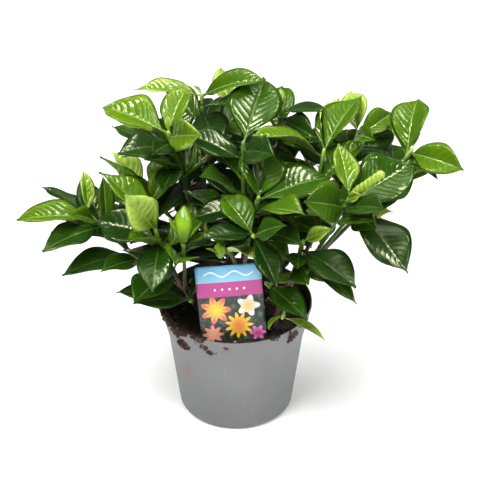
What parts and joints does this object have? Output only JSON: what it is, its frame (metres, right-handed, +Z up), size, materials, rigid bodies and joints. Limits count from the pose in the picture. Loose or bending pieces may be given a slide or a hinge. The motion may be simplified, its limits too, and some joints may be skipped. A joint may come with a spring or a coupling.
{
  "type": "potted gardenia",
  "caption": "Leafy glossy evergreen shrub on branched woody stems, growing in a tapered plastic nursery pot of soil with a plain plant card; stands on its flat base.",
  "frame": {"origin": "middle of the pot's flat underside", "axes": "+Z up along the pot's axis; the plant card faces -Y"},
  "size_m": [0.3543, 0.2508, 0.3041],
  "materials": {
    "pot": "satin",
    "soil": "matte",
    "card": "gloss",
    "bark": "matte",
    "leaf_old": "gloss",
    "leaf_young": "gloss"
  },
  "bodies": {
    "root": {"back_centre_high_old": "leaf_old", "back_centre_high_young": "leaf_young", "back_centre_low_old": "leaf_old", "back_centre_low_young": "leaf_young", "back_left_high_old": "leaf_old", "back_left_high_young": "leaf_young", "back_left_low_old": "leaf_old", "back_left_low_young": "leaf_young", "back_left_wood": "bark", "back_right_high_old": "leaf_old", "back_right_high_young": "leaf_young", "back_right_low_old": "leaf_old", "back_right_low_young": "leaf_young", "back_right_wood": "bark", "bud_centre_old": "leaf_old", "bud_centre_young": "leaf_young", "bud_left_old": "leaf_old", "bud_left_young": "leaf_young", "centre_front_old": "leaf_old", "centre_front_young": "leaf_young", "far_left_old": "leaf_old", "far_left_young": "leaf_young", "far_right_old": "leaf_old", "far_right_young": "leaf_young", "front_left_base_old": "leaf_old", "front_low_old": "leaf_old", "front_low_young": "leaf_young", "front_right_base_old": "leaf_old", "left_back_old": "leaf_old", "left_back_young": "leaf_young", "left_front_old": "leaf_old", "left_front_young": "leaf_young", "left_wood": "bark", "middle_wood": "bark", "plant_card": "card", "pot": "pot", "right_crown_old": "leaf_old", "right_crown_young": "leaf_young", "right_front_old": "leaf_old", "right_front_young": "leaf_young", "right_low_old": "leaf_old", "right_low_young": "leaf_young", "right_side_old": "leaf_old", "right_top_old": "leaf_old", "right_top_young": "leaf_young", "right_wood": "bark", "rim_right_old": "leaf_old", "rim_right_young": "leaf_young", "soil": "soil", "top_centre_old": "leaf_old", "top_left_old": "leaf_old", "top_left_young": "leaf_young", "top_right_back_old": "leaf_old", "top_right_back_young": "leaf_young", "upper_left_old": "leaf_old", "upper_left_young": "leaf_young"}
  },
  "joints": []
}
